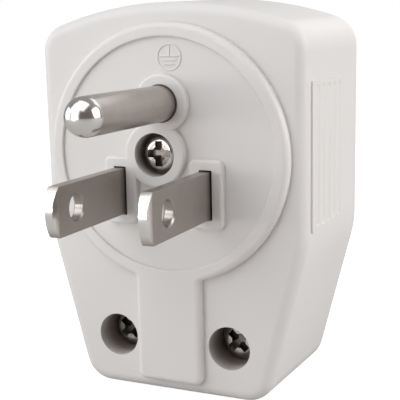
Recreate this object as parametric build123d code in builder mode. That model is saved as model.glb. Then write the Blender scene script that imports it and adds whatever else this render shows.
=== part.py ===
"""Grounded travel adapter: a three-pin plug face on a moulded body with a socket face behind.

Millimetres. The origin is midway between the two flat blades, in the plane that meets the wall
socket. X runs to the right of someone facing the pins, Y from the wall into the body, Z up.
"""

import os
from math import cos, radians, sin, tan

from build123d import *

# Pin layout of the plug face
blade_spacing = 12.7
blade_height = 6.35
blade_thickness = 1.52
blade_length = 17.5
blade_hole_diameter = 3.2
blade_hole_from_face = 12.3
blade_tip_bevel_length = 1.1
blade_tip_bevel_depth = 0.22
blade_tip_bulge = 1.3
blade_edge_radius = 0.12
blade_hole_deburr = 0.2
ground_pin_height = 11.9
ground_pin_diameter = 4.8
ground_pin_length = 21.0
ground_neck_diameter = 4.0
ground_neck_relief = 0.2
ground_mouth_depth = 0.35

# Body seen from the front
body_half_width = 19.45
body_top = 25.0
body_foot = 28.8
top_arch_rise = 3.75
flank_start = 6.8
flank_angle = 14.6
top_corner_radius = 3.9
flank_blend_radius = 14.0
foot_corner_radius = 4.0

# Body from front to back
front_y = 1.9
rear_y = 23.5
draft_angle = 2.0
front_edge_radius = 1.6
rear_edge_radius = 0.9
front_wall = 2.3
side_wall = 2.3
rim_wall = 1.3

# Ring, tab and floor of the plug face
ring_centre_z = 4.9
ring_radius = 17.6
ring_inner_radius = 15.67
ring_crest_y = 0.52
ring_edge_radius = 0.8
ring_inner_edge_radius = 0.25
floor_y = 0.95
tab_half_width = 4.85
tab_foot_z = -27.0
tab_blend_radius = 0.5
tab_corner_radius = 1.1

# Pads round the blades and bosses round the ground pin and the middle screw, all in one plane
pad_width = 4.8
pad_height = 9.3
pad_corner_radius = 0.9
pad_edge_radius = 0.4
ground_boss_radius = 3.9
screw_boss_radius = 4.45
screw_boss_x = -1.05
screw_boss_z = 5.05

# Screws: pan heads with a cross recess
screw_head_diameter = 4.9
screw_head_height = 1.8
screw_head_round = 0.85
screw_shank_diameter = 2.9
screw_point = 0.6
screw_length = 12.0
recess_wing = 3.0
recess_slot = 0.65
recess_depth = 1.2
recess_taper = 10.0
recess_core = 0.9
recess_core_taper = 26.0
case_screw_turn = 45.0
case_screw_x = 8.55
case_screw_z = -21.35
case_well_diameter = 6.1
case_seat_y = 7.2
centre_well_diameter = 5.9
centre_seat_y = 3.2
case_boss_diameter = 8.5
case_boss_end_y = 9.0
centre_boss_diameter = 7.0
centre_boss_end_y = 6.0
pillar_diameter = 6.4
pilot_spare = 1.0

# Grips: a low raised panel on each side, hollowed into upright ribs
rib_count = 6
rib_pitch = 2.15
grip_length = 19.9
grip_height = 0.25
grip_corner_radius = 0.5
grip_slope = 15.0
grip_middle_y = 10.1
grip_middle_z = 4.9
groove_width = 1.25
groove_depth = 0.14
groove_slope = 66.0
groove_end_margin = 0.6

# Rear cover and its three apertures
cover_thickness = 2.6
cover_rib = 1.0
cover_rib_trim = 0.5
socket_spacing = 21.4
socket_line_z = -9.0
socket_slot_length = 8.0
socket_slot_height = 4.9
ground_slot_z = 13.2
ground_slot_width = 4.8
ground_slot_height = 9.0
aperture_corner_radius = 0.8
aperture_lead_in = 0.6

# Contacts, feet and rivets
strip = 0.8
strip_fillet = 0.9
jaw_gap = 3.8
jaw_mouth = 6.2
jaw_mouth_y = 18.6
jaw_nip_y = 15.6
jaw_width = 5.0
channel_width = 6.4
foot_reach = 12.9
foot_bend_radius = 0.6
contact_reach = 14.4
tongue_top_z = 2.9
tongue_bottom_z = -4.6
neck_width = 1.7
rivet_x = 10.4
rivet_shank_diameter = 2.5
rivet_head_diameter = 4.2
rivet_head_height = 0.8
ground_flange_diameter = 6.2
ground_flange_thickness = 1.2
ground_tail_diameter = 3.0
ground_stake_diameter = 3.7
ground_stake_height = 0.8
ground_plate_bottom_z = 9.2
ground_plate_top_z = 18.6
ground_jaw_width = 6.4

# Fits
pin_clearance = 0.15
shank_clearance = 0.05
screw_clearance = 0.25
cover_clearance = 0.12
seat_clearance = 0.05
rivet_clearance = 0.05

# Worked out from the sizes above
draft_slope = tan(radians(draft_angle))
inner_y = front_y + front_wall
wall_middle_y = front_y + front_wall / 2
ledge_y = rear_y - cover_thickness
blade_x = blade_spacing / 2
foot_y = inner_y + strip
foot_back_y = foot_y + blade_thickness
tongue_start_x = blade_x + blade_thickness / 2 + foot_bend_radius + pin_clearance
ground_plate_y = inner_y + ground_flange_thickness
ground_plate_back_y = ground_plate_y + strip

os.makedirs("parts", exist_ok=True)


def front_plane(y):
    """The plane across the body at depth y, seen from the pins."""
    return Plane.XZ.offset(-y)


def body_grow(y):
    """How far the draft has moved the outline out at depth y."""
    return (y - front_y) * draft_slope


def body_section(y, inset):
    """The body's outline at depth y, moved in by inset: flat foot, leaning flanks, upright sides
    and an arched top."""
    grow = body_grow(y) - inset
    half = body_half_width + grow
    top = body_top + grow
    shoulder = top - top_arch_rise
    knee = -flank_start - grow * tan(radians(flank_angle) / 2)
    foot = -body_foot - grow
    foot_half = half + (foot - knee) * tan(radians(flank_angle))
    with BuildSketch(front_plane(y)) as section:
        with BuildLine():
            Polyline(
                (-half, shoulder), (-half, knee), (-foot_half, foot),
                (foot_half, foot), (half, knee), (half, shoulder),
            )
            ThreePointArc((-half, shoulder), (0, top), (half, shoulder))
        make_face()
        fillet(section.vertices().sort_by(Axis.Y)[-2:], top_corner_radius + grow)
        fillet(section.vertices().sort_by(Axis.Y)[2:4], flank_blend_radius + grow)
        fillet(section.vertices().sort_by(Axis.Y)[0:2], foot_corner_radius + grow)
    return section.sketch


def body_blank(y_front, y_rear, inset):
    """The drafted body, or its cavity when inset by a wall, between two depths."""
    with BuildPart() as blank:
        extrude(body_section(y_front, inset), amount=y_front - y_rear)
        sides = blank.faces().filter_by(Axis.Y, reverse=True)
        draft(sides, front_plane(y_front), draft_angle)
    return blank.part


def column(x, z, y_front, y_rear, diameter, mode=Mode.ADD):
    """A round column, well or hole along Y."""
    with BuildSketch(front_plane(y_front)) as disc:
        with Locations((x, z)):
            Circle(diameter / 2)
    extrude(disc.sketch, amount=y_front - y_rear, mode=mode)


# Front housing: the moulded shell that carries the plug face
outside = body_blank(front_y, rear_y, 0)
cavity = body_blank(inner_y, rear_y, side_wall)
cover_seat = body_blank(ledge_y, rear_y, rim_wall)
with BuildPart() as front_housing:
    add(outside)
    fillet(front_housing.faces().sort_by(Axis.Y)[0].edges(), front_edge_radius)
    fillet(front_housing.faces().sort_by(Axis.Y)[-1].edges(), rear_edge_radius)

    # Ring and tab stand forward of the body as one plateau
    with BuildSketch(front_plane(front_y)) as plateau:
        with Locations((0, ring_centre_z)):
            Circle(ring_radius)
        with Locations((0, (ring_centre_z + tab_foot_z) / 2)):
            Rectangle(2 * tab_half_width, ring_centre_z - tab_foot_z)
        necks = plateau.vertices().sort_by(Axis.Y)
        fillet(necks[2:4], tab_blend_radius)
        fillet(plateau.vertices().sort_by(Axis.Y)[0:2], tab_corner_radius)
    extrude(amount=front_y - ring_crest_y)
    crest = front_housing.faces().filter_by(Axis.Y).sort_by(Axis.Y)[0]
    fillet(crest.edges(), ring_edge_radius)
    column(0, ring_centre_z, ring_crest_y, floor_y, 2 * ring_inner_radius, Mode.SUBTRACT)
    crest = front_housing.faces().filter_by(Axis.Y).sort_by(Axis.Y)[0]
    fillet(crest.inner_wires()[0].edges(), ring_inner_edge_radius)

    # Raised pads round the blades, joined by the bosses of the ground pin and the middle screw
    with BuildSketch(front_plane(floor_y)):
        with GridLocations(blade_spacing, 0, 2, 1):
            RectangleRounded(pad_width, pad_height, pad_corner_radius)
        with Locations((0, ground_pin_height)):
            Circle(ground_boss_radius)
        with Locations((screw_boss_x, screw_boss_z)):
            Circle(screw_boss_radius)
    extrude(amount=floor_y)
    fillet(
        front_housing.faces().filter_by(Axis.Y).group_by(Axis.Y)[0].edges(), pad_edge_radius
    )

    # Cavity behind the front wall, with its internal bosses
    add(cavity, mode=Mode.SUBTRACT)
    add(cover_seat, mode=Mode.SUBTRACT)
    for side in (-1, 1):
        x = side * case_screw_x
        column(x, case_screw_z, wall_middle_y, case_boss_end_y, case_boss_diameter)
    column(
        screw_boss_x, screw_boss_z, wall_middle_y, centre_boss_end_y, centre_boss_diameter
    )

    # Screw wells and clearance holes
    shank_hole = screw_shank_diameter + 2 * screw_clearance
    for side in (-1, 1):
        x = side * case_screw_x
        column(x, case_screw_z, 0, case_seat_y, case_well_diameter, Mode.SUBTRACT)
        column(x, case_screw_z, 0, case_boss_end_y, shank_hole, Mode.SUBTRACT)
    x = screw_boss_x
    column(x, screw_boss_z, 0, centre_seat_y, centre_well_diameter, Mode.SUBTRACT)
    column(x, screw_boss_z, 0, centre_boss_end_y, shank_hole, Mode.SUBTRACT)

    # Slots of the blades, hole of the ground pin, pockets under the rivets
    with BuildSketch(front_plane(0)):
        with GridLocations(blade_spacing, 0, 2, 1):
            Rectangle(blade_thickness + 2 * pin_clearance, blade_height + 2 * pin_clearance)
        with Locations((0, ground_pin_height)):
            Circle(ground_neck_diameter / 2 + pin_clearance)
    extrude(amount=-inner_y, mode=Mode.SUBTRACT)
    column(
        0, ground_pin_height, 0, ground_mouth_depth,
        ground_pin_diameter + 2 * pin_clearance, Mode.SUBTRACT,
    )
    for side in (-1, 1):
        column(
            side * rivet_x, 0, inner_y - rivet_head_height - seat_clearance, inner_y,
            rivet_head_diameter + 2 * rivet_clearance, Mode.SUBTRACT,
        )

    # Grip panels, square to the drafted sides, then the grooves between their ribs
    for side in (-1, 1):
        side_x = side * (body_half_width + body_grow(grip_middle_y))
        outward = (side * cos(radians(draft_angle)), -sin(radians(draft_angle)), 0)
        along = (side * sin(radians(draft_angle)), cos(radians(draft_angle)), 0)
        flank = Plane((side_x, grip_middle_y, grip_middle_z), x_dir=along, z_dir=outward)
        with BuildSketch(flank.offset(-grip_height)) as panel:
            RectangleRounded(rib_count * rib_pitch, grip_length, grip_corner_radius)
        extrude(panel.sketch, amount=2 * grip_height, taper=grip_slope)
        with BuildSketch(flank.offset(grip_height)) as grooves:
            with GridLocations(rib_pitch, 0, rib_count - 1, 1):
                SlotOverall(grip_length - 2 * groove_end_margin, groove_width, rotation=90)
        extrude(grooves.sketch, amount=-groove_depth, taper=groove_slope, mode=Mode.SUBTRACT)
front_housing.part.label = "front_housing"
export_step(front_housing.part, "parts/front_housing.step")


# Rear cover: the moulded socket face that closes the housing
cover_plate = body_blank(ledge_y, rear_y, rim_wall + cover_clearance)
with BuildPart() as rear_cover:
    add(cover_plate)
    for side in (-1, 1):
        column(
            side * case_screw_x, case_screw_z, case_boss_end_y + seat_clearance, ledge_y,
            pillar_diameter,
        )
    column(
        screw_boss_x, screw_boss_z, centre_boss_end_y + seat_clearance, ledge_y, pillar_diameter
    )

    # Ribs that press the blade feet and the ground plate against their seats
    with BuildSketch(front_plane(foot_back_y + seat_clearance)):
        rib_z = blade_height / 2 - cover_rib / 2
        with GridLocations(2 * rivet_x, 0, 2, 1):
            with Locations((0, rib_z)):
                Rectangle(foot_reach - tongue_start_x - 2 * cover_rib_trim, cover_rib)
    extrude(amount=foot_back_y + seat_clearance - ledge_y)
    with BuildSketch(front_plane(ground_plate_back_y + seat_clearance)):
        with Locations((0, ground_plate_top_z - cover_rib / 2)):
            Rectangle(ground_jaw_width, cover_rib)
    extrude(amount=ground_plate_back_y + seat_clearance - ledge_y)

    # Three apertures with a lead-in all round
    with BuildSketch(front_plane(rear_y)) as apertures:
        with GridLocations(socket_spacing, 0, 2, 1):
            with Locations((0, socket_line_z)):
                RectangleRounded(socket_slot_length, socket_slot_height, aperture_corner_radius)
        with Locations((0, ground_slot_z)):
            RectangleRounded(ground_slot_width, ground_slot_height, aperture_corner_radius)
    extrude(amount=cover_thickness, mode=Mode.SUBTRACT)
    mouths = rear_cover.faces().sort_by(Axis.Y)[-1].inner_wires()
    for mouth in mouths:
        chamfer(mouth.edges(), aperture_lead_in)

    # Pilot holes of the three screws
    thread_hole = screw_shank_diameter + 2 * shank_clearance
    for side in (-1, 1):
        column(
            side * case_screw_x, case_screw_z, case_boss_end_y,
            case_seat_y + screw_length + pilot_spare, thread_hole, Mode.SUBTRACT,
        )
    column(
        screw_boss_x, screw_boss_z, centre_boss_end_y,
        centre_seat_y + screw_length + pilot_spare, thread_hole, Mode.SUBTRACT,
    )
rear_cover.part.label = "rear_cover"
export_step(rear_cover.part, "parts/rear_cover.step")


def make_blade(side, name):
    """A flat blade with a rounded and bevelled end and a cross hole, its foot bent outward inside
    the body."""
    with BuildPart() as blade:
        inner_x = blade_x - blade_thickness / 2
        outer_x = blade_x + blade_thickness / 2
        bevel_y = blade_tip_bevel_length - blade_length
        with BuildSketch(Plane.XY.offset(-blade_height / 2)):
            with BuildLine():
                Polyline(
                    (inner_x, bevel_y), (inner_x, foot_back_y), (foot_reach, foot_back_y),
                    (foot_reach, foot_y), (outer_x, foot_y), (outer_x, bevel_y),
                    (outer_x - blade_tip_bevel_depth, -blade_length),
                    (inner_x + blade_tip_bevel_depth, -blade_length), close=True,
                )
            corner = make_face().vertices()
            fillet(corner.sort_by_distance((outer_x, foot_y))[0], foot_bend_radius)
        extrude(amount=blade_height)
        outer_bend = blade.edges().filter_by(Axis.Z).sort_by_distance((inner_x, foot_back_y, 0))[0]
        fillet(outer_bend, foot_bend_radius + blade_thickness)

        # The end is rounded in side view
        corner_y = blade_tip_bulge - blade_length
        with BuildSketch(Plane.YZ):
            with BuildLine():
                Polyline(
                    (corner_y, blade_height / 2), (foot_back_y, blade_height / 2),
                    (foot_back_y, -blade_height / 2), (corner_y, -blade_height / 2),
                )
                ThreePointArc(
                    (corner_y, -blade_height / 2), (-blade_length, 0), (corner_y, blade_height / 2)
                )
            make_face()
        extrude(amount=foot_reach, mode=Mode.INTERSECT)
        fillet(blade.edges().filter_by(Axis.Y), blade_edge_radius)
        with BuildSketch(Plane.YZ):
            with Locations((-blade_hole_from_face, 0)):
                Circle(blade_hole_diameter / 2)
        extrude(amount=foot_reach, mode=Mode.SUBTRACT)
        hole_middle = (blade_x, -blade_hole_from_face, 0)
        hole_rims = blade.edges().filter_by(GeomType.CIRCLE).sort_by_distance(hole_middle)[0:2]
        chamfer(hole_rims, blade_hole_deburr)
        column(
            rivet_x, 0, foot_y, foot_back_y, rivet_shank_diameter + 2 * rivet_clearance,
            Mode.SUBTRACT,
        )
        if side < 0:
            mirror(about=Plane.YZ, mode=Mode.REPLACE)
    blade.part.label = name
    export_step(blade.part, f"parts/{name}.step")


def make_contact(side, name):
    """A stamped strip: a tongue riveted to the blade's foot, and a channel with two jaw leaves."""
    leaf_x = contact_reach - jaw_width
    half_gap = (jaw_gap + strip) / 2
    half_mouth = (jaw_mouth + strip) / 2
    half_channel = (channel_width - strip) / 2
    sheet_y = inner_y + strip / 2
    with BuildPart() as contact:
        # The channel and its leaves, bent from one strip
        with BuildSketch(Plane.YZ.offset(leaf_x)):
            with BuildLine() as bend:
                FilletPolyline(
                    (jaw_mouth_y, socket_line_z + half_mouth),
                    (jaw_nip_y, socket_line_z + half_gap),
                    (sheet_y, socket_line_z + half_channel),
                    (sheet_y, socket_line_z - half_channel),
                    (jaw_nip_y, socket_line_z - half_gap),
                    (jaw_mouth_y, socket_line_z - half_mouth),
                    radius=strip_fillet,
                )
            trace(line_width=strip)
        extrude(amount=jaw_width)
        # The flat tongue up to the blade's foot, narrowed at its neck
        with BuildSketch(front_plane(inner_y)):
            with BuildLine():
                Polyline(
                    (tongue_start_x, tongue_top_z), (foot_reach, tongue_top_z),
                    (foot_reach, tongue_bottom_z), (tongue_start_x + neck_width, tongue_bottom_z),
                    (tongue_start_x + neck_width, socket_line_z + half_channel),
                    (tongue_start_x + neck_width, socket_line_z + half_gap - strip),
                    (contact_reach - strip, socket_line_z + half_gap - strip),
                    (contact_reach - strip, socket_line_z - half_gap + strip),
                    (tongue_start_x, socket_line_z - half_gap + strip), close=True,
                )
            make_face()
        extrude(amount=-strip)
        column(
            rivet_x, 0, inner_y, inner_y + strip, rivet_shank_diameter + 2 * rivet_clearance,
            Mode.SUBTRACT,
        )
        if side < 0:
            mirror(about=Plane.YZ, mode=Mode.REPLACE)
    contact.part.label = name
    export_step(contact.part, f"parts/{name}.step")


def make_rivet(side, name):
    """A rivet with a low head on the foot and a flat closed end in its pocket."""
    with BuildPart() as rivet:
        x = side * rivet_x
        column(
            x, 0, inner_y - rivet_head_height, inner_y, rivet_head_diameter,
        )
        column(x, 0, inner_y, foot_back_y, rivet_shank_diameter)
        column(x, 0, foot_back_y, foot_back_y + rivet_head_height, rivet_head_diameter)
        fillet(
            rivet.faces().sort_by(Axis.Y)[-1].edges(), rivet_head_height / 2
        )
    rivet.part.label = name
    export_step(rivet.part, f"parts/{name}.step")


def make_screw(x, z, seat_y, turn, name):
    """A pan-head screw driven from the front: rounded head, cross recess turned as driven."""
    crown_y = seat_y - screw_head_height
    with BuildPart() as screw:
        column(0, 0, crown_y, seat_y, screw_head_diameter)
        fillet(screw.faces().sort_by(Axis.Y)[0].edges(), screw_head_round)
        column(0, 0, seat_y, seat_y + screw_length, screw_shank_diameter)
        chamfer(screw.faces().sort_by(Axis.Y)[-1].edges(), screw_point)
        with BuildSketch(front_plane(crown_y + recess_depth)) as recess:
            Rectangle(recess_wing, recess_slot)
            Rectangle(recess_slot, recess_wing)
        extrude(recess.sketch, amount=recess_depth, taper=-recess_taper, mode=Mode.SUBTRACT)
        with BuildSketch(front_plane(crown_y + recess_depth)) as core:
            Circle(recess_core / 2)
        extrude(core.sketch, amount=recess_depth, taper=-recess_core_taper, mode=Mode.SUBTRACT)
    placed = Pos(x, 0, z) * Rot(0, turn, 0) * screw.part
    placed.label = name
    export_step(placed, f"parts/{name}.step")


for side, name in ((-1, "left"), (1, "right")):
    make_blade(side, f"{name}_blade")
    make_contact(side, f"{name}_contact")
    make_rivet(side, f"{name}_rivet")
    make_screw(
        side * case_screw_x, case_screw_z, case_seat_y, case_screw_turn, f"{name}_case_screw"
    )
make_screw(screw_boss_x, screw_boss_z, centre_seat_y, 0, "centre_screw")


# Ground pin: turned, with a domed end, a flange inside the wall and a staked tail
with BuildPart() as ground_pin:
    with BuildSketch(Plane.XY):
        radius = ground_pin_diameter / 2
        neck_radius = ground_neck_diameter / 2
        tail_radius = ground_tail_diameter / 2
        with BuildLine():
            Line((0, -ground_pin_length), (0, ground_plate_back_y + ground_stake_height))
            Polyline(
                (0, ground_plate_back_y + ground_stake_height),
                (ground_stake_diameter / 2, ground_plate_back_y + ground_stake_height),
                (ground_stake_diameter / 2, ground_plate_back_y),
                (tail_radius, ground_plate_back_y),
                (tail_radius, ground_plate_y),
                (ground_flange_diameter / 2, ground_plate_y),
                (ground_flange_diameter / 2, inner_y),
                (neck_radius, inner_y),
                (neck_radius, -ground_neck_relief),
                (radius, -ground_neck_relief),
                (radius, radius - ground_pin_length),
            )
            RadiusArc((radius, radius - ground_pin_length), (0, -ground_pin_length), radius)
        make_face()
    revolve(axis=Axis.Y)
placed_pin = Pos(0, 0, ground_pin_height) * ground_pin.part
placed_pin.label = "ground_pin"
export_step(placed_pin, "parts/ground_pin.step")


# Ground contact: a plate staked to the pin's tail, with two leaves that grip the ground pin
# of whatever is plugged in behind
with BuildPart() as ground_contact:
    half_gap = (jaw_gap + strip) / 2
    half_mouth = (jaw_mouth + strip) / 2
    half_channel = (channel_width - strip) / 2
    sheet_y = ground_plate_y + strip / 2
    with BuildSketch(Plane.XY.offset(ground_slot_z - ground_jaw_width / 2)):
        with BuildLine():
            FilletPolyline(
                (half_mouth, jaw_mouth_y),
                (half_gap, jaw_nip_y),
                (half_channel, sheet_y),
                (-half_channel, sheet_y),
                (-half_gap, jaw_nip_y),
                (-half_mouth, jaw_mouth_y),
                radius=strip_fillet,
            )
        trace(line_width=strip)
    extrude(amount=ground_jaw_width)
    plate_middle = (ground_plate_bottom_z + ground_plate_top_z) / 2
    column(0, ground_pin_height, ground_plate_y, ground_plate_back_y, channel_width)
    with BuildSketch(front_plane(ground_plate_y)):
        with Locations((0, plate_middle)):
            Rectangle(channel_width - 2 * strip, ground_plate_top_z - ground_plate_bottom_z)
    extrude(amount=-strip)
    column(
        0, ground_pin_height, ground_plate_y, ground_plate_back_y,
        ground_tail_diameter + 2 * rivet_clearance, Mode.SUBTRACT,
    )
ground_contact.part.label = "ground_contact"
export_step(ground_contact.part, "parts/ground_contact.step")
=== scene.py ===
from math import cos, pi, radians, sin

import bmesh
import bpy
import numpy as np
from mathutils import Matrix, Vector


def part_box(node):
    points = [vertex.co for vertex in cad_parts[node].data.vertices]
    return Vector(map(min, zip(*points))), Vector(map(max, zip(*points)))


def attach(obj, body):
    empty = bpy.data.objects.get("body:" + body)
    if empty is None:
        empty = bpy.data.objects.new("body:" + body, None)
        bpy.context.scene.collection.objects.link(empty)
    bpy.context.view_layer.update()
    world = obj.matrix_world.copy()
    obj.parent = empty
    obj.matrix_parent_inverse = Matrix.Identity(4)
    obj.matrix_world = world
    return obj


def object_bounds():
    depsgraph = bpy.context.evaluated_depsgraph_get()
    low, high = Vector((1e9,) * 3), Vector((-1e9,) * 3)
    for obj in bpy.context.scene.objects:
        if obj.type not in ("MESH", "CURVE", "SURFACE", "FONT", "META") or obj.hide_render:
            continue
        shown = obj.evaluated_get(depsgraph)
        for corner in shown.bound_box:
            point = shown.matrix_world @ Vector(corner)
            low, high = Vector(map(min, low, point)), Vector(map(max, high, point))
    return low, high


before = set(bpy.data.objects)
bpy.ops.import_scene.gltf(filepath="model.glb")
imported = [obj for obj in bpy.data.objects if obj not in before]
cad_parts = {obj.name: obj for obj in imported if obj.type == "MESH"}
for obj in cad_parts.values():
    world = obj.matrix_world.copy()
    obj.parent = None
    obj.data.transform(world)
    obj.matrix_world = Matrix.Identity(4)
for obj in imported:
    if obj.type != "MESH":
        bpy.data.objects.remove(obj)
cad_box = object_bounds()


# Housing and rear cover: two mouldings in a warm off-white plastic with a satin skin.
# The mould's face leaves a fine even grain, the tint drifts a little from place to place, and
# a painted shade darkens the walls of the three screw wells and the mouth round the ground pin.

class Shade:
    """An output socket in the node tree of a material or of the world.

    Arithmetic on it adds Math nodes, and node() adds any other kind of node to the same tree.
    """

    def __init__(self, tree, socket=None):
        self.tree = tree
        self.socket = socket

    def node(self, kind, settings=None, inputs=None, out=0):
        """Adds a node, first sets it up, then fills or links its sockets, and gives an output."""
        made = self.tree.nodes.new(kind)
        for name, value in (settings or {}).items():
            setattr(made, name, value)
        for name, value in (inputs or {}).items():
            if isinstance(value, Shade):
                self.tree.links.new(value.socket, made.inputs[name])
            else:
                made.inputs[name].default_value = value
        return Shade(self.tree, made.outputs[out] if len(made.outputs) else None)

    def math(self, operation, first, second):
        return self.node("ShaderNodeMath", {"operation": operation}, {0: first, 1: second})

    def __add__(self, other):
        return self.math("ADD", self, other)

    def __radd__(self, other):
        return self.math("ADD", other, self)

    def __sub__(self, other):
        return self.math("SUBTRACT", self, other)

    def __rsub__(self, other):
        return self.math("SUBTRACT", other, self)

    def __mul__(self, other):
        return self.math("MULTIPLY", self, other)

    def __rmul__(self, other):
        return self.math("MULTIPLY", other, self)


def new_material(name):
    """An empty node material and the start of its shader expressions."""
    material = bpy.data.materials.new(name)
    material.use_nodes = True
    material.node_tree.nodes.clear()
    return material, Shade(material.node_tree)


def blend_colours(shade, mask, low, high):
    """One colour where the mask is 0 and the other where it is 1."""
    return shade.node(
        "ShaderNodeMix", {"data_type": "RGBA"}, {0: mask, 6: low, 7: high}, out=2
    )


def dress(names, material):
    """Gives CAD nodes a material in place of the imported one."""
    for name in names:
        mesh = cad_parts[name].data
        mesh.materials.clear()
        mesh.materials.append(material)


def inside_holes(shade, place, holes):
    """A mask of round holes along Y, each on the axis of the CAD node that it is named for.

    It rises from 0 at a hole's rim to 1 at its dark depth, and is 0 again past its bottom, and
    all three are places along Y.
    """
    across = shade.node("ShaderNodeSeparateXYZ", inputs={0: place}, out=0)
    depth = shade.node("ShaderNodeSeparateXYZ", inputs={0: place}, out=1)
    height = shade.node("ShaderNodeSeparateXYZ", inputs={0: place}, out=2)
    mask = 0.0
    for node, hole in holes.items():
        low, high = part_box(node)
        axis = (low + high) / 2
        from_axis = (across - axis.x) * (across - axis.x) + (height - axis.z) * (height - axis.z)
        near_axis = shade.math("LESS_THAN", from_axis, hole["radius"] ** 2)
        below_rim = shade.node(
            "ShaderNodeMapRange",
            inputs={"Value": depth, "From Min": hole["rim"], "From Max": hole["dark"]},
        )
        mask = mask + near_axis * below_rim * shade.math("LESS_THAN", depth, hole["bottom"])
    return mask


plastic_light = (0.69, 0.673, 0.662, 1.0)
plastic_dark = (0.665, 0.645, 0.631, 1.0)
# colour of the painted shade in the screw wells and round the pin's mouth
painted_shade_colour = (0.25, 0.208, 0.188, 1.0)
cloud_per_metre = 46.0
grain_per_metre = 5200.0
grain_height = 0.000006
skin_roughness = 0.40
cloud_roughness = 0.10
grain_roughness = 0.06
centre_well = {"radius": 0.00298, "rim": 0.0, "dark": 0.0020, "bottom": 0.0033}
case_well = {"radius": 0.00308, "rim": 0.0017, "dark": 0.0048, "bottom": 0.0073}
pin_mouth = {"radius": 0.00258, "rim": 0.0, "dark": 0.0002, "bottom": 0.0006}
holes = {
    "centre_screw": centre_well,
    "left_case_screw": case_well,
    "right_case_screw": case_well,
    "ground_pin": pin_mouth,
}
plastic, shade = new_material("satin_plastic")
place = shade.node("ShaderNodeTexCoord", out="Object")
cloud = shade.node(
    "ShaderNodeTexNoise", inputs={"Vector": place, "Scale": cloud_per_metre, "Detail": 3.0}
)
grain = shade.node(
    "ShaderNodeTexNoise", inputs={"Vector": place, "Scale": grain_per_metre, "Detail": 2.0}
)
skin = shade.node(
    "ShaderNodeBump", inputs={"Height": grain, "Distance": grain_height, "Strength": 0.6}
)
unshaded_plastic = blend_colours(shade, cloud, plastic_dark, plastic_light)
# painted shade down the walls of the screw wells and round the pin's mouth
painted_shade = inside_holes(shade, place, holes)
surface = shade.node(
    "ShaderNodeBsdfPrincipled",
    inputs={
        "Base Color": blend_colours(shade, painted_shade, unshaded_plastic, painted_shade_colour),
        "Roughness": skin_roughness + cloud_roughness * cloud + grain_roughness * grain,
        "IOR": 1.5,
        "Normal": skin,
    },
)
shade.node("ShaderNodeOutputMaterial", inputs={"Surface": surface})
dress(["front_housing", "rear_cover"], plastic)


# Earth sign above the ground pin: thin raised lines of the moulding, a ring with a stem and
# three shorter and shorter bars inside it.

pin_low, pin_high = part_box("ground_pin")
sign_above_pin = 0.0060
sign_x = 0.0011
sign_y = 0.00095
sign_z = (pin_low.z + pin_high.z) / 2 + sign_above_pin
sign_radius = 0.0017
line_width = 0.00022
line_height = 0.00012
stem_top = 0.00145
bar_heights = [0.00015, -0.00038, -0.00092]
bar_lengths = [0.0026, 0.0019, 0.0013]
merge_distance = 1e-7


def ellipse_section(steps):
    """Half width and rise of a line's section, taken right round: cos and sin of the angle."""
    angle = np.linspace(0, 2 * pi, steps, endpoint=False)
    return line_width / 2 * np.cos(angle), line_height * np.sin(angle)


def ring_grid(radius, around=96, steps=16):
    """A circle in the XZ plane that carries the section.

    Outwards from the middle it is the radius plus the half width, and the rise is along -Y.
    """
    turn = np.linspace(0, 2 * pi, around, endpoint=False)[:, None]
    across, rise = ellipse_section(steps)
    reach = radius + across[None, :]
    points = np.stack([reach * np.cos(turn), -rise[None, :] + 0 * turn, reach * np.sin(turn)], -1)
    return points.reshape(-1, 3), grid_faces(around, steps, True)


def bar_grid(start, end, around=24, steps=13):
    """A round-ended line: each end's half circle about it, narrowing by cos and rising by sin."""
    turn = np.linspace(0, 2 * pi, around, endpoint=False)[:, None]
    rise = np.linspace(-pi / 2, pi / 2, steps)[None, :]
    along = np.array(end) - np.array(start)
    along = along / np.linalg.norm(along)
    aside = np.array([-along[1], along[0]])
    near_end = (np.cos(turn) > 0)[..., None]
    middle = np.where(near_end, np.array(end), np.array(start))
    flat = middle + line_width / 2 * np.cos(rise)[..., None] * (
        np.cos(turn)[..., None] * along + np.sin(turn)[..., None] * aside
    )
    points = np.stack([flat[..., 0], -line_height * np.sin(rise) + 0 * turn, flat[..., 1]], -1)
    return points.reshape(-1, 3), grid_faces(around, steps, False)


def grid_faces(rows, columns, closed):
    """Four-sided faces between the rows, which always close, and the columns, which may."""
    row = np.arange(rows)[:, None]
    column = np.arange(columns if closed else columns - 1)[None, :]
    next_row = (row + 1) % rows
    next_column = (column + 1) % columns
    return np.stack(
        [
            row * columns + column,
            next_row * columns + column,
            next_row * columns + next_column,
            row * columns + next_column,
        ],
        -1,
    ).reshape(-1, 4)


def piece_from(name, grids, move):
    """One smooth mesh object from several grids of points and faces, with its doubles merged."""
    starts = np.cumsum([0] + [len(points) for points, _ in grids])
    points = np.concatenate([points for points, _ in grids]) + np.array(move)
    faces = np.concatenate([faces + start for (_, faces), start in zip(grids, starts)])
    mesh = bpy.data.meshes.new(name)
    mesh.from_pydata(points, [], faces.tolist())
    work = bmesh.new()
    work.from_mesh(mesh)
    bmesh.ops.remove_doubles(work, verts=work.verts, dist=merge_distance)
    bmesh.ops.recalc_face_normals(work, faces=work.faces)
    work.to_mesh(mesh)
    work.free()
    mesh.polygons.foreach_set("use_smooth", np.ones(len(mesh.polygons), bool))
    piece = bpy.data.objects.new(name, mesh)
    bpy.context.scene.collection.objects.link(piece)
    return piece


sign_parts = [ring_grid(sign_radius), bar_grid((0, stem_top), (0, bar_heights[0]))]
for height, length in zip(bar_heights, bar_lengths):
    sign_parts.append(bar_grid((-length / 2, height), (length / 2, height)))
earth_sign = piece_from("earth_sign", sign_parts, (sign_x, sign_y, sign_z))
earth_sign.data.materials.append(plastic)
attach(earth_sign, "root")


# Flat blades: brass strip under nickel plating, a warm grey metal with fine lines along the
# strip from its rolling. The rounded ends are smoother and a lighter colour, a painted highlight,
# and the roots are darkened with painted shade where the blades come out of the moulding.

# painted shade at the roots of the blades and the pin, where the metal mirrors the dark slot
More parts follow.
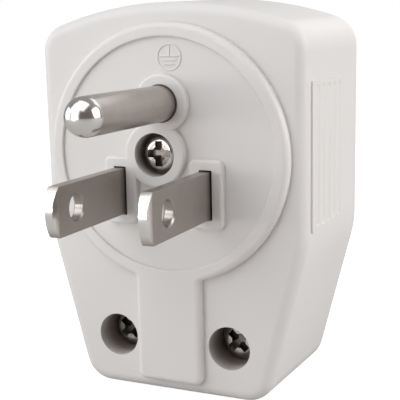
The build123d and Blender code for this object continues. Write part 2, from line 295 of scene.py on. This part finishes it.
painted_root_shade_colour = (0.08, 0.066, 0.056, 1.0)
painted_root_shade_start = -0.0016
painted_root_shade_end = 0.0001
most_painted_root_shade = 0.75
haze_per_metre = 210.0
haze_share = 0.4
lines_share = 0.6
line_depth = 0.000004
line_roughness = 0.16


def plated(
    name, tip, bright_length, fade_length, dark, light, bright, stretch, end_roughness, roughness
):
    """Nickel with fine tool lines: noise stretched along the way that the tool went.

    From the tip, at that Y, it is smooth and a lighter colour, a painted highlight, for one length
    and fades to lines in the next. Towards the root a painted shade darkens it.
    """
    material, shade = new_material(name)
    place = shade.node("ShaderNodeTexCoord", out="Object")
    lines_place = shade.node("ShaderNodeMapping", inputs={"Vector": place, "Scale": stretch})
    lines = shade.node("ShaderNodeTexNoise", inputs={"Vector": lines_place, "Detail": 3.0})
    haze = shade.node("ShaderNodeTexNoise", inputs={"Vector": place, "Scale": haze_per_metre})
    streaks = haze_share * haze + lines_share * lines
    along = shade.node("ShaderNodeSeparateXYZ", inputs={0: place}, out=1)
    bright_to = tip + bright_length
    worked = shade.node(
        "ShaderNodeMapRange",
        inputs={"Value": along, "From Min": bright_to, "From Max": bright_to + fade_length},
    )
    # mask of the painted shade towards the root
    painted_root_shade = shade.node(
        "ShaderNodeMapRange",
        inputs={
            "Value": along,
            "From Min": painted_root_shade_start,
            "From Max": painted_root_shade_end,
            "To Max": most_painted_root_shade,
        },
    )
    # the lighter colour at the end is a painted highlight
    plating = blend_colours(shade, worked, bright, blend_colours(shade, streaks, dark, light))
    bump = shade.node(
        "ShaderNodeBump", inputs={"Height": lines, "Distance": line_depth, "Strength": 0.4}
    )
    surface = shade.node(
        "ShaderNodeBsdfPrincipled",
        inputs={
            "Base Color": blend_colours(shade, painted_root_shade, plating, painted_root_shade_colour),
            "Metallic": 1.0,
            "Roughness": end_roughness + (roughness - end_roughness + line_roughness * lines) * worked,
            "Normal": bump,
        },
    )
    shade.node("ShaderNodeOutputMaterial", inputs={"Surface": surface})
    return material


plated_strip = plated(
    "plated_strip",
    tip=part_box("left_blade")[0].y,
    bright_length=0.0004,
    fade_length=0.0008,
    dark=(0.29, 0.25, 0.228, 1.0),
    light=(0.51, 0.47, 0.435, 1.0),
    # the lighter colour on the blades' ends is a painted highlight
    bright=(0.80, 0.775, 0.75, 1.0),
    stretch=(6000.0, 260.0, 6000.0),
    end_roughness=0.12,
    roughness=0.26,
)
dress(["left_blade", "right_blade"], plated_strip)


# Ground pin: a brass bar turned on a lathe and plated like the blades. Its polished domed end
# has a lighter colour, a painted highlight, and the straight part keeps the fine lines that run round
# it.

plated_pin = plated(
    "plated_pin",
    tip=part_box("ground_pin")[0].y,
    bright_length=0.0022,
    fade_length=0.0003,
    dark=(0.33, 0.29, 0.26, 1.0),
    light=(0.65, 0.61, 0.575, 1.0),
    # the lighter colour on the dome is a painted highlight
    bright=(0.74, 0.715, 0.69, 1.0),
    stretch=(220.0, 2400.0, 220.0),
    end_roughness=0.19,
    roughness=0.25,
)
dress(["ground_pin"], plated_pin)


# Three screws: zinc-plated steel, cold-headed, with the cross pressed in by a punch.
# The heads are bright, with small dents from the plating barrel, and the cross is darkened with
# painted shade.

screws = ["centre_screw", "left_case_screw", "right_case_screw"]
zinc_dark = (0.50, 0.475, 0.455, 1.0)
zinc_light = (0.86, 0.84, 0.82, 1.0)
# colour of the painted shade down in the cross
painted_cross_shade = (0.25, 0.232, 0.216, 1.0)
dents_per_metre = 1500.0
dent_depth = 0.00002
head_roughness = 0.06
dent_roughness = 0.14
recess_roughness = 0.04
recess_radius = 0.00165
recess_rim = 0.00015
recess_dark = 0.00055
recess_bottom = 0.0013
recesses = {}
for screw in screws:
    head_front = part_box(screw)[0].y
    recesses[screw] = {
        "radius": recess_radius,
        "rim": head_front + recess_rim,
        "dark": head_front + recess_dark,
        "bottom": head_front + recess_bottom,
    }
steel, shade = new_material("screw_steel")
place = shade.node("ShaderNodeTexCoord", out="Object")
dents = shade.node(
    "ShaderNodeTexNoise", inputs={"Vector": place, "Scale": dents_per_metre, "Detail": 4.0}
)
# mask of the painted shade in the cross
pressed = inside_holes(shade, place, recesses)
zinc = blend_colours(shade, dents, zinc_dark, zinc_light)
bump = shade.node(
    "ShaderNodeBump", inputs={"Height": dents, "Distance": dent_depth, "Strength": 0.8}
)
surface = shade.node(
    "ShaderNodeBsdfPrincipled",
    inputs={
        "Base Color": blend_colours(shade, pressed, zinc, painted_cross_shade),
        "Metallic": 1.0,
        "Roughness": head_roughness + dent_roughness * dents + recess_roughness * pressed,
        "Normal": bump,
    },
)
shade.node("ShaderNodeOutputMaterial", inputs={"Surface": surface})
dress(screws, steel)


# Contacts and rivets, inside the two mouldings: plain stamped brass. It has no plating, and
# air and handling have dulled it a little and unevenly.

brass_dark = (0.52, 0.37, 0.16, 1.0)
brass_light = (0.78, 0.60, 0.30, 1.0)
patches_per_metre = 380.0
brass_roughness = 0.22
patch_roughness = 0.25
brass, shade = new_material("stamped_brass")
place = shade.node("ShaderNodeTexCoord", out="Object")
patches = shade.node(
    "ShaderNodeTexNoise", inputs={"Vector": place, "Scale": patches_per_metre, "Detail": 5.0}
)
surface = shade.node(
    "ShaderNodeBsdfPrincipled",
    inputs={
        "Base Color": blend_colours(shade, patches, brass_dark, brass_light),
        "Metallic": 1.0,
        "Roughness": brass_roughness + patch_roughness * patches,
    },
)
shade.node("ShaderNodeOutputMaterial", inputs={"Surface": surface})
dress(
    ["left_contact", "right_contact", "ground_contact", "left_rivet", "right_rivet"], brass
)


# Floor: one flat sheet of pale paper that the object stands on. To the camera it is pushed up
# to white, and the object's shadow stays on it.

floor_size = 3.0
paper_colour = (0.50, 0.49, 0.48, 1.0)
paper_glow = 0.95
floor_edge = np.array([[-1, -1], [1, -1], [1, 1], [-1, 1]]) * floor_size / 2
floor_points = np.column_stack([floor_edge, np.full(len(floor_edge), cad_box[0].z)])
floor_mesh = bpy.data.meshes.new("floor")
floor_mesh.from_pydata(floor_points.tolist(), [], [(0, 1, 2, 3)])
floor = bpy.data.objects.new("floor", floor_mesh)
bpy.context.scene.collection.objects.link(floor)
paper, shade = new_material("floor_paper")
seen_by_camera = shade.node("ShaderNodeLightPath", out="Is Camera Ray")
surface = shade.node(
    "ShaderNodeBsdfPrincipled",
    inputs={
        "Base Color": paper_colour,
        "Roughness": 0.9,
        "Specular IOR Level": 0.1,
        "Emission Color": (1.0, 1.0, 1.0, 1.0),
        "Emission Strength": paper_glow * seen_by_camera,
    },
)
shade.node("ShaderNodeOutputMaterial", inputs={"Surface": surface})
floor_mesh.materials.append(paper)


# Studio surround: a soft white glow behind the object, warmer and dimmer on the side of the
# pins, with a smooth change between the two. The camera sees plain white.

rear_colour = (1.0, 0.995, 0.985, 1.0)
rear_strength = 0.35
rear_from = 0.45
front_colour = (1.0, 0.83, 0.77, 1.0)
front_strength = 0.16
front_to = -0.35
world = bpy.data.worlds.new("surround")
world.use_nodes = True
world.node_tree.nodes.clear()
shade = Shade(world.node_tree)
direction = shade.node("ShaderNodeTexCoord", out="Generated")
towards_rear = shade.node("ShaderNodeSeparateXYZ", inputs={0: direction}, out=1)
behind = shade.node(
    "ShaderNodeMapRange",
    {"interpolation_type": "SMOOTHSTEP"},
    {"Value": towards_rear, "From Min": front_to, "From Max": rear_from},
)
room = shade.node(
    "ShaderNodeBackground",
    inputs={
        "Color": blend_colours(shade, behind, front_colour, rear_colour),
        "Strength": front_strength + (rear_strength - front_strength) * behind,
    },
)
white = shade.node("ShaderNodeBackground", inputs={"Color": (1, 1, 1, 1), "Strength": 1.0})
seen_by_camera = shade.node("ShaderNodeLightPath", out="Is Camera Ray")
mixed = shade.node("ShaderNodeMixShader", inputs={0: seen_by_camera, 1: room, 2: white})
shade.node("ShaderNodeOutputWorld", inputs={"Surface": mixed})
bpy.context.scene.world = world


# Seven soft lights: the key in front of the pins, two to its left, one above, the strongest on
# the right-hand side, a weak one behind, and a low warm strip in front that brightens the ends
# of the blades.

light_distance = 0.33
cool_white = (0.93, 0.98, 1.0)


def soft_light(name, azimuth, elevation, size, power, tint):
    """A rectangular area light on a sphere round the object, facing its middle."""
    lamp = bpy.data.lights.new(name, "AREA")
    lamp.shape = "RECTANGLE"
    lamp.size, lamp.size_y = size
    lamp.energy = power
    lamp.color = tint
    holder = bpy.data.objects.new(name, lamp)
    bpy.context.scene.collection.objects.link(holder)
    turn, rise = radians(azimuth), radians(elevation)
    outward = Vector((sin(turn) * cos(rise), -cos(turn) * cos(rise), sin(rise)))
    holder.location = outward * light_distance
    holder.rotation_mode = "QUATERNION"
    holder.rotation_quaternion = (-outward).to_track_quat("-Z", "Y")


soft_light(
    "key_light", azimuth=-26, elevation=19, size=(0.26, 0.26), power=0.345, tint=(0.90, 0.965, 1.0)
)
soft_light(
    "left_light", azimuth=-75, elevation=10, size=(0.22, 0.22), power=0.33, tint=cool_white
)
soft_light(
    "upper_left_light", azimuth=-45, elevation=45, size=(0.22, 0.22), power=0.21, tint=cool_white
)
soft_light(
    "top_light", azimuth=-5, elevation=66, size=(0.34, 0.34), power=0.51, tint=(0.97, 0.99, 1.0)
)
soft_light(
    "side_light", azimuth=100, elevation=22, size=(0.22, 0.22), power=0.82, tint=(1.0, 0.995, 0.99)
)
soft_light(
    "rear_light", azimuth=165, elevation=36, size=(0.22, 0.22), power=0.16, tint=(1.0, 1.0, 1.0)
)
soft_light(
    "low_strip", azimuth=-26, elevation=0, size=(0.24, 0.04), power=0.14, tint=(1.0, 0.89, 0.85)
)


# Camera: on the photograph's line of sight, to the right of the pins and a little above them.
# Its place, slight roll and lens were fitted to the pins and the outline in the photograph.

azimuth = radians(24.83)
elevation = radians(10.443)
roll = radians(-1.2)
distance = 0.12187
aim = Vector((0.005552, 0.0, -0.000633))
camera_data = bpy.data.cameras.new("camera")
camera_data.sensor_width = 36.0
camera_data.lens = 83.59
camera_data.clip_start = 0.005
camera_data.clip_end = 20.0
camera = bpy.data.objects.new("camera", camera_data)
bpy.context.scene.collection.objects.link(camera)
back = Vector(
    (sin(azimuth) * cos(elevation), -cos(azimuth) * cos(elevation), sin(elevation))
)
right = (-back).cross(Vector((0, 0, 1))).normalized()
up = back.cross(right)
turned_right = right * cos(roll) + up * sin(roll)
turned_up = up * cos(roll) - right * sin(roll)
camera.matrix_world = Matrix.Translation(aim + back * distance) @ Matrix(
    (turned_right, turned_up, back)
).transposed().to_4x4()
bpy.context.scene.camera = camera
bpy.context.scene.view_settings.view_transform = "Standard"
